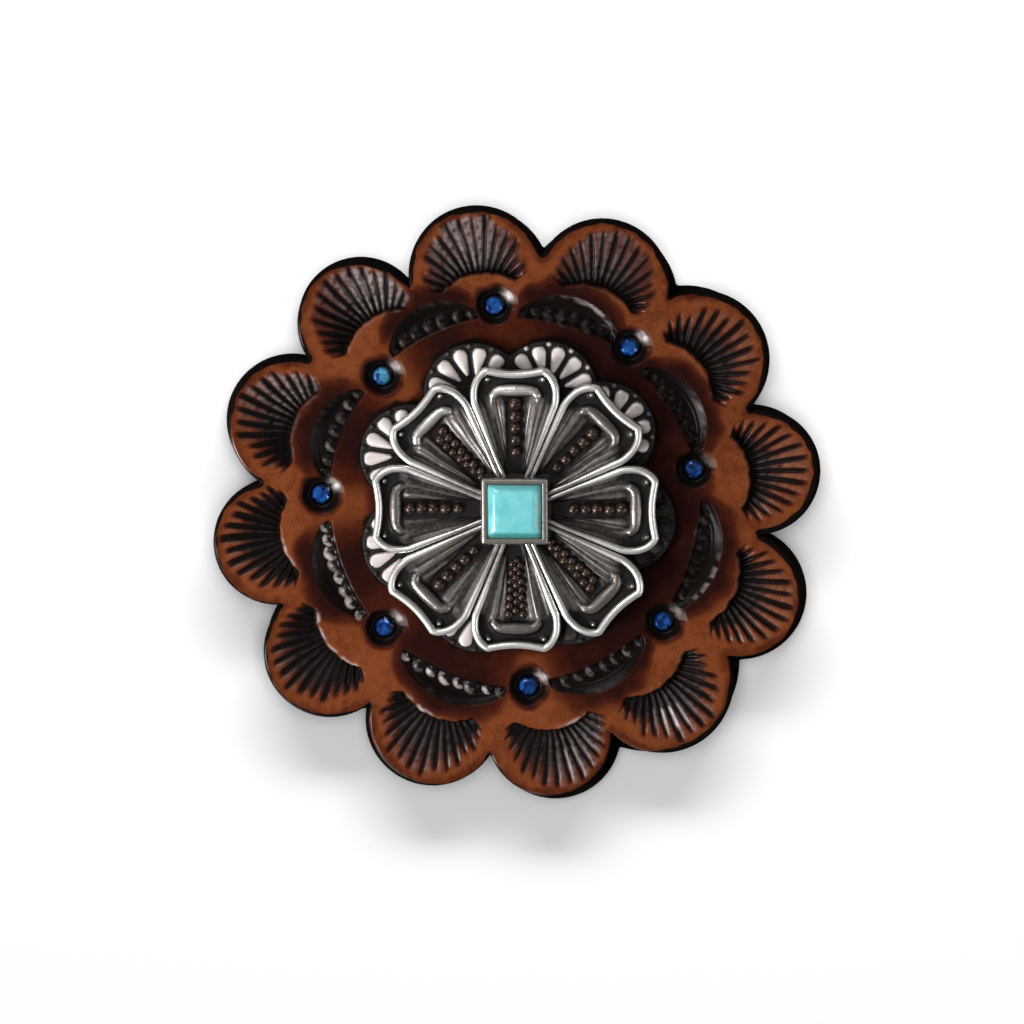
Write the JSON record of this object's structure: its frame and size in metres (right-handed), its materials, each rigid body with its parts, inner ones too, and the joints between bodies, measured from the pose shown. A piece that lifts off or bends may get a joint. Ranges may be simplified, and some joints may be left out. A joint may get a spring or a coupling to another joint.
{
  "type": "concho",
  "caption": "Scalloped leather concho with stamped shells and crescents, small blue stones, a fan-edged plate and a silver flower with a square turquoise; screw post behind.",
  "frame": {"origin": "on the screw post's axis, at the level of the leather's back", "axes": "+Z out of the front of the concho, +Y up in the picture, +X to its right"},
  "size_m": [0.0755, 0.0749, 0.0099],
  "materials": {
    "black_leather": "dyed, satin",
    "tooled_leather": "stained and waxed, satin",
    "blue_stone": "faceted, polished",
    "silver": "antiqued silver plating on a cast alloy",
    "turquoise": "polished",
    "steel": "nickel plated"
  },
  "bodies": {
    "root": {"leather_backing": "black_leather", "leather_top": "tooled_leather", "rhinestone_1": "blue_stone", "rhinestone_2": "blue_stone", "rhinestone_3": "blue_stone", "rhinestone_4": "blue_stone", "rhinestone_5": "blue_stone", "rhinestone_6": "blue_stone", "rhinestone_7": "blue_stone", "rhinestone_8": "blue_stone", "base_plate": "silver", "silver_flower": "silver", "turquoise": "turquoise", "screw_post": "steel"}
  },
  "joints": []
}
